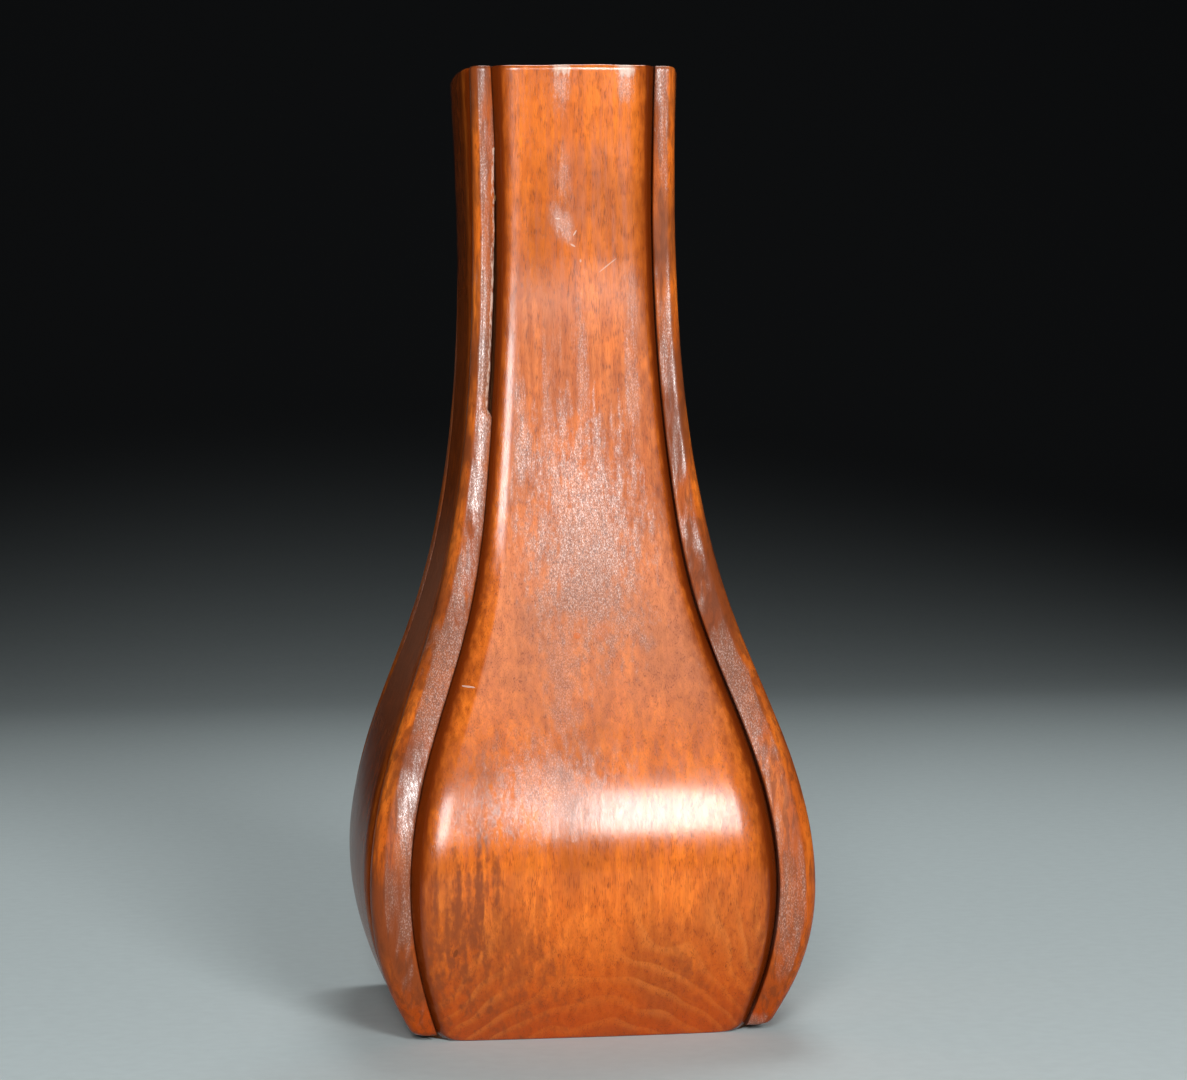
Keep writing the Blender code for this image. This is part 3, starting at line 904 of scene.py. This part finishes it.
# %% Lacquered wood
def lacquered_wood(name, turn, pith, haze_amount, gloss, darker, stained, sheen_veiled, arches, darkened_and_shaded, shine,
                   glow=0.34, marks=()):
    """The wood of a panel or a post, whose board coordinates are turned and shifted from the vase's."""
    material, tree, shader, place = new_material(name)

    def times(value, share):
        return maths(tree, "MULTIPLY", value, share)

    def rest_of(value):
        return maths(tree, "SUBTRACT", 1.0, value)

    up = add(tree, "ShaderNodeSeparateXYZ", {0: place}).outputs["Z"]
    handled = smooth_step(tree, up, HANDLED_FROM, HANDLED_TO)
    fresh = smooth_step(tree, up, FRESH_FROM, FRESH_TO)
    # Painted shade grows towards the foot.
    low = smooth_step(tree, up, FOOT_SHADE_FROM, FOOT_SHADE_TO)
    arches_here = times(smooth_step(tree, up, ARCHES_FROM, ARCHES_TO), arches)
    board = add(tree, "ShaderNodeMapping", {
        "Vector": place, "Rotation": (0, 0, -turn), "Location": pith}).outputs[0]
    dirt_and_shade, worn, clear, bare = (
        add(tree, "ShaderNodeAttribute", {}, attribute_name=mask).outputs["Fac"] for mask in MASKS)
    look = use_group(tree, grain, {
        "Board": board, "Ring Spacing": RING_SPACING, "Ring Wander": RING_WANDER})
    handled = times(handled, rest_of(fresh))
    polish = maths(tree, "MAXIMUM", times(rest_of(handled), gloss), clear)
    amount = maths(tree, "MULTIPLY_ADD", polish, CLEAR_LESS_HAZE, haze_amount)
    amount = maths(tree, "MULTIPLY_ADD", fresh, FRESH_MORE_HAZE * gloss, amount)
    dull = use_group(tree, haze, {"Board": board, "Amount": amount})
    edge = use_group(tree, edges, {"Board": board, "Dirt And Shade": dirt_and_shade, "Worn": worn})
    hazy = dull["Haze"]

    spots = []
    for mark in marks:
        spots.append(use_group(tree, spot, {
            "Board": board, "Centre": [p + c for p, c in zip(pith, mark["at"])],
            "Lean": (0, math.radians(mark["lean"]), 0), "Reach": mark["reach"],
            "Ragged": mark["ragged"], "Firm": mark["firm"]})["Inside"])
        if mark["dull"]:
            hazy = maths(tree, "MAXIMUM", hazy, times(spots[-1], mark["dull"]))

    faded = times(handled, smooth_step(tree, up, FADED_TO, FADED_FROM))
    # A pale veil on the dulled middle of the body: dulled lacquer, partly a painted sheen.
    sheen_veil = times(times(faded, rest_of(clear)), sheen_veiled)
    # Painted shade darkens the left panel; on the posts the same tone is a darker wood on the faces,
    # not on the clear corners.
    darkening_and_shade = times(maths(tree, "MULTIPLY_ADD", clear, -0.8, 1.0), darkened_and_shaded)
    figured = maths(tree, "MULTIPLY_ADD", look["Figure"], 0.6, 0.4)
    layers = times(look["Rings"], times(figured, arches_here))
    pores = times(look["Flecks"], maths(tree, "MULTIPLY_ADD", look["Mottle"], 0.40, 0.25))
    finish = [
        (times(look["Streaks"], STREAK_SHARE), RED_BROWN),
        (times(look["Bands"], darker), RED_BROWN),
        (darkening_and_shade, DARK_WOOD_AND_SHADE),
        (times(look["Mottle"], MOTTLE_SHARE), MOTTLE_BROWN),
        # Painted shade towards the foot.
        (times(low, FOOT_SHADE_SHARE), FOOT_SHADE),
        (times(look["Figure"], darker), DARK_FIGURE),
        (layers, PALE_LAYER),
        # Dulled lacquer, partly painted sheen.
        (sheen_veil, DULL_HAZE_AND_SHEEN),
        (times(look["Stains"], stained), STAIN),
        # Painted shade and a grime stain on the slopes into the grooves.
        (edge["Shade"], EDGE_STAIN_AND_SHADE),
        (pores, OPEN_PORE),
        (times(hazy, UNDER_HAZE_SHARE), UNDER_HAZE),
        # Painted glints in the haze, partly pale scuffs.
        (times(times(hazy, dull["Sparks"]), SPARK_AND_GLINT_SHARE), SPARK_AND_GLINT),
        (times(times(hazy, dull["Pits"]), PIT_SHARE), HAZE_PIT),
        (times(edge["Grime"], GRIME_SHARE), GRIME_BROWN),
        (times(edge["Rubbed"], RUBBED_SHARE), RUBBED_WOOD)]
    finish += [(times(inside, mark["cover"]), mark["tone"]) for inside, mark in zip(spots, marks)]
    tone = ORANGE
    for share, above in finish:
        tone = mix_colour(tree, share, tone, above)
    oiled = mix_colour(tree, times(look["Streaks"], INSIDE_STREAK_SHARE), BARE_INSIDE, BARE_STREAK)
    oiled = mix_colour(tree, times(look["Flecks"], INSIDE_FLECK_SHARE), oiled, OPEN_PORE)
    tone = mix_colour(tree, bare, tone, oiled)

    height = times(look["Flecks"], maths(tree, "MULTIPLY_ADD", polish, POLISH_FILLS, FLECK_SINKS))
    height = maths(tree, "MULTIPLY_ADD", times(dull["Speckle"], hazy), SPECKLE_RISES, height)
    for inside, mark in zip(spots, marks):
        if mark["depth"]:
            height = maths(tree, "MULTIPLY_ADD", inside, -mark["depth"], height)
    bump = add(tree, "ShaderNodeBump", {
        "Height": height, "Strength": BUMP_STRENGTH, "Distance": BUMP_DISTANCE}).outputs[0]

    matt = maths(tree, "MAXIMUM", edge["Grime"], bare)
    roughness = maths(tree, "MULTIPLY_ADD", polish, CLEAR_ROUGHNESS - WORN_ROUGHNESS, WORN_ROUGHNESS)
    roughness = maths(tree, "MULTIPLY_ADD", look["Streaks"], STREAK_ROUGHNESS, roughness)
    roughness = maths(tree, "MAXIMUM", roughness, times(hazy, WORN_ROUGHNESS))
    roughness = maths(tree, "MAXIMUM", roughness, times(matt, SOILED_ROUGHNESS))
    scattering = times(times(hazy, dull["Scatter"]), rest_of(matt))
    feed(tree, shader, {
        "Base Color": tone, "Roughness": roughness, "Normal": bump, "Coat Weight": scattering,
        "Specular IOR Level": shine, "Coat Roughness": glow, "Coat IOR": HAZE_IOR})
    return material


# %% [markdown]
# ## The marks of the front panel
#
# The marks are listed by their place on the front, across and up in millimetres. The front
# panel was drawn facing away, so its left is the board's positive side. A mark can dull the
# lacquer, lay a colour over it, or dent it.

# %% Marks
MARK_DEEP = 40 * MM


def mark(across, up, half_width, half_height, lean=0, dull=0.0, cover=0.0, tone=DULL_HAZE_AND_SHEEN,
         ragged=0.35, firm=0.8, depth=0.0):
    """A mark at a place on the front, seen from the front, with its half sizes in millimetres."""
    outward = post_face_line(up * MM)
    return {"at": (-across * MM, outward, up * MM), "lean": lean, "dull": dull, "cover": cover,
            "tone": tone, "reach": (half_width * MM, MARK_DEEP, half_height * MM),
            "ragged": ragged, "firm": firm, "depth": depth}


FRONT_MARKS = [
    mark(0.5, 111.0, 17.0, 36.0, dull=0.95, ragged=0.9, firm=0.3),
    mark(-7.0, 140.0, 2.0, 24.0, dull=0.5, ragged=1.0, firm=0.0),
    mark(1.0, 150.0, 2.4, 26.0, dull=0.5, ragged=1.0, firm=0.0),
    mark(12.5, 150.0, 2.6, 28.0, dull=0.5, ragged=1.0, firm=0.0),
    mark(-6.0, 82.0, 6.0, 26.0, dull=0.6, ragged=0.9, firm=0.2),
    mark(-10.0, 58.0, 22.0, 16.0, dull=0.7, ragged=0.8, firm=0.0),
    mark(-5.0, 56.0, 2.5, 8.0, lean=-10, cover=0.4, tone=DARK_FIGURE, ragged=1.6, firm=0.0),
    mark(-31.0, 26.0, 10.0, 26.0, lean=8, cover=0.80, tone=DARK_FIGURE, ragged=1.4, firm=0.0),
    mark(-20.0, 22.0, 13.0, 24.0, lean=-20, cover=0.55, tone=DARK_FIGURE, ragged=1.6, firm=0.0),
    mark(20.0, 16.0, 3.0, 8.0, lean=-35, cover=0.45, tone=DARK_FIGURE, ragged=1.4, firm=0.0),
    mark(-24.0, 60.0, 5.0, 9.0, cover=0.35, tone=DARK_FIGURE, ragged=1.6, firm=0.0),
    mark(-3.2, 194.0, 3.0, 11.0, dull=0.5, ragged=0.7, firm=0.0),
    mark(-3.2, 184.0, 3.1, 7.6, lean=-20, dull=0.6, cover=0.04, tone=SPARK_AND_GLINT, ragged=0.5,
         firm=0.2, depth=0.8),
    mark(-4.1, 184.9, 0.7, 0.18, cover=0.7, tone=RUBBED_WOOD),
    mark(-0.2, 181.7, 0.18, 0.8, lean=30, cover=0.8, tone=RUBBED_WOOD),
    mark(-0.7, 178.8, 0.7, 0.22, lean=30, cover=0.7, tone=RUBBED_WOOD),
    mark(1.0, 175.3, 0.25, 0.4, cover=0.6, tone=RUBBED_WOOD, depth=1.0),
    mark(7.3, 174.3, 0.14, 2.8, lean=52, cover=0.6, tone=RUBBED_WOOD, ragged=0.2),
    mark(-3.2, 215.0, 3.4, 8.0, dull=0.7, ragged=0.8, firm=0.0),
    mark(-3.2, 219.0, 2.8, 2.2, cover=0.8, tone=RUBBED_WOOD, ragged=1.2, firm=0.2),
    mark(11.6, 215.0, 3.0, 7.0, dull=0.7, ragged=0.8, firm=0.0),
    mark(11.6, 219.0, 2.8, 2.0, cover=0.8, tone=RUBBED_WOOD, ragged=1.2, firm=0.2),
    mark(-2.2, 90.4, 0.9, 0.8, cover=0.8, tone=RED_BROWN, depth=2.0),
    mark(3.4, 91.2, 2.2, 2.8, lean=20, cover=0.3, tone=RED_BROWN, firm=0.6, depth=1.5),
    mark(-27.0, 79.6, 1.6, 0.22, lean=8, cover=0.6, tone=RUBBED_WOOD, depth=1.0),
    mark(-31.5, 21.3, 0.5, 1.1, lean=20, cover=0.9, tone=OPEN_PORE, depth=2.0),
]
print("marks on the front:", len(FRONT_MARKS))

# %% [markdown]
# The panels and the posts are cut from different wood, and each has its own shift from the pith.
# The left panel gets painted shade: it is darkened all over as if turned away from the light, and
# it and the post behind it mirror less. On the posts the same dark tone makes the faces a darker wood.

# %% Give every panel and post its wood
PANEL_PITH_STEP = 3 * MM
PANEL_PITH_DEPTH = -4 * MM
POST_PITH_SIDE = -20 * MM
POST_PITH_DEPTH = -24 * MM
POST_PITH_STEP = 70 * MM

for side, side_name in enumerate(SIDES):
    pith = (PANEL_PITH_STEP * side, PANEL_PITH_DEPTH, 0)
    front_marks = FRONT_MARKS if side_name == "front" else ()
    # The left panel is painted dark, a painted shade, and mirrors less.
    darkened_and_shaded, shine = (0.95, 0.01) if side_name == "left" else (0.0, 0.3)
    haze_amount = -0.30 if side_name == "left" else -0.07
    wood = lacquered_wood(
        side_name + "_panel_wood", side_turn(side), pith, haze_amount=haze_amount, gloss=1.0,
        darker=0.4, stained=0.10, sheen_veiled=0.32, arches=0.20, darkened_and_shaded=darkened_and_shaded, shine=shine,
        marks=front_marks)
    panels[side_name].data.materials.append(wood)
for corner, corner_name in enumerate(CORNERS):
    pith = (POST_PITH_SIDE, POST_PITH_DEPTH, POST_PITH_STEP * (corner + 1))
    shine = 0.01 if corner_name == "back_left" else 0.1
    wood = lacquered_wood(
        corner_name + "_post_wood", corner * math.pi / 2, pith, haze_amount=0.07, gloss=0.3,
        darker=1.0, stained=0.50, sheen_veiled=0.0, arches=0.0, darkened_and_shaded=0.38, shine=shine, glow=0.22)
    posts[corner_name].data.materials.append(wood)
print("woods made:", len(SIDES) + len(CORNERS))

# %% [markdown]
# ## Board and pins
#
# The bottom board and the bamboo pins keep their solids from the frame. The board is unfinished
# wood whose grain lies flat, seen only down the neck and from below. The pins are split bamboo,
# pale, with fibres along each pin.

# %% Unfinished board
BOARD_TONE = colour(0.26, 0.105, 0.038)
BOARD_LAYER = colour(0.15, 0.055, 0.020)
BOARD_PITH = (60 * MM, 8 * MM, 0)
BOARD_RING_SPACING = 2.2 * MM
BOARD_RING_WANDER = 7 * MM


def bare_board(name):
    """Plain unlacquered wood with its fibres along X."""
    material, tree, shader, place = new_material(name)
    board = add(tree, "ShaderNodeMapping", {
        "Vector": place, "Rotation": (0, math.pi / 2, 0), "Location": BOARD_PITH}).outputs[0]
    look = use_group(tree, grain, {
        "Board": board, "Ring Spacing": BOARD_RING_SPACING, "Ring Wander": BOARD_RING_WANDER})
    tone = mix_colour(tree, look["Rings"], BOARD_TONE, BOARD_LAYER)
    tone = mix_colour(tree, maths(tree, "MULTIPLY", look["Flecks"], 0.6), tone, OPEN_PORE)
    tone = mix_colour(tree, maths(tree, "MULTIPLY", look["Figure"], 0.35), tone, OPEN_PORE)
    roughness = maths(tree, "ADD", maths(tree, "MULTIPLY", look["Streaks"], 0.15), 0.6)
    height = maths(tree, "SUBTRACT", look["Streaks"], look["Flecks"])
    bump = add(tree, "ShaderNodeBump", {"Height": height, "Strength": 0.5, "Distance": 0.08 * MM})
    feed(tree, shader, {"Base Color": tone, "Roughness": roughness, "Normal": bump.outputs[0]})
    return material


def dress(name, material):
    """Give a piece of the frame a new material in place of its own."""
    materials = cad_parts[name].data.materials
    materials.clear()
    materials.append(material)


dress("bottom_board", bare_board("board_bare_wood"))
print("board dressed")

# %% Split bamboo
BAMBOO_PALE = colour(0.66, 0.46, 0.20)
BAMBOO_FIBRE = colour(0.36, 0.20, 0.07)


def bamboo(name, turn):
    """Split bamboo whose fibres lie along X before the turn."""
    material, tree, shader, place = new_material(name)
    stem = add(tree, "ShaderNodeMapping", {"Vector": place, "Rotation": (0, 0, -turn)}).outputs[0]
    fibres = cloud(tree, stem, (6 * MM, 0.12 * MM, 0.12 * MM), detail=3.0)
    blotches = cloud(tree, stem, (3 * MM, 1.5 * MM, 1.5 * MM), detail=2.0)
    tone = mix_colour(tree, smooth_step(tree, fibres, 0.45, 0.62), BAMBOO_PALE, BAMBOO_FIBRE)
    tone = mix_colour(tree, maths(tree, "MULTIPLY", blotches, 0.3), tone, BAMBOO_FIBRE)
    roughness = maths(tree, "ADD", maths(tree, "MULTIPLY", fibres, 0.25), 0.35)
    bump = add(tree, "ShaderNodeBump", {
        "Height": fibres, "Strength": BUMP_STRENGTH, "Distance": BUMP_DISTANCE})
    feed(tree, shader, {"Base Color": tone, "Roughness": roughness, "Normal": bump.outputs[0]})
    return material


bamboo_by_turn = [bamboo("bamboo_along_x", 0.0), bamboo("bamboo_along_y", math.pi / 2)]
pins = [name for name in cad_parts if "_pin_" in name]
for name in pins:
    side = next(i for i, side_name in enumerate(SIDES) if name.startswith(side_name))
    dress(name, bamboo_by_turn[side % 2])
print("pins dressed:", len(pins))

# %% [markdown]
# ## The floor's own surface
#
# The sheet is matt paper, plain and pale where the vase stands. Like a graded studio paper it
# darkens away from there, so that the gloss on the vase's sides has something dark to mirror.

# %% Backdrop paper
PAPER_PALE = colour(0.60, 0.69, 0.70)
PAPER_SHADE = colour(0.53, 0.61, 0.62)
PAPER_DARK = colour(0.005, 0.0055, 0.006)
FADE_FROM = 0.25
FADE_TO = 1.35
PAPER_ROUGHNESS = 0.9
PAPER_SHINE = 0.05

paper, paper_tree, paper_shader, paper_place = new_material("backdrop_paper")
paper_fibre = cloud(paper_tree, paper_place, (4 * MM, 4 * MM, 4 * MM), detail=4.0)
paper_tone = mix_colour(paper_tree, paper_fibre, PAPER_PALE, PAPER_SHADE)
paper_flat = vector_maths(paper_tree, "MULTIPLY", paper_place, (1.0, 1.0, 0.0))
paper_fade = smooth_step(paper_tree, vector_maths(paper_tree, "LENGTH", paper_flat), FADE_FROM, FADE_TO)
paper_tone = mix_colour(paper_tree, paper_fade, paper_tone, PAPER_DARK)
feed(paper_tree, paper_shader, {
    "Base Color": paper_tone, "Roughness": PAPER_ROUGHNESS, "Specular IOR Level": PAPER_SHINE})
sheet_mesh.materials.append(paper)
print("paper fades from", FADE_FROM, "to", FADE_TO, "metres")

# %% [markdown] The dressed vase has to keep the size of its frame.
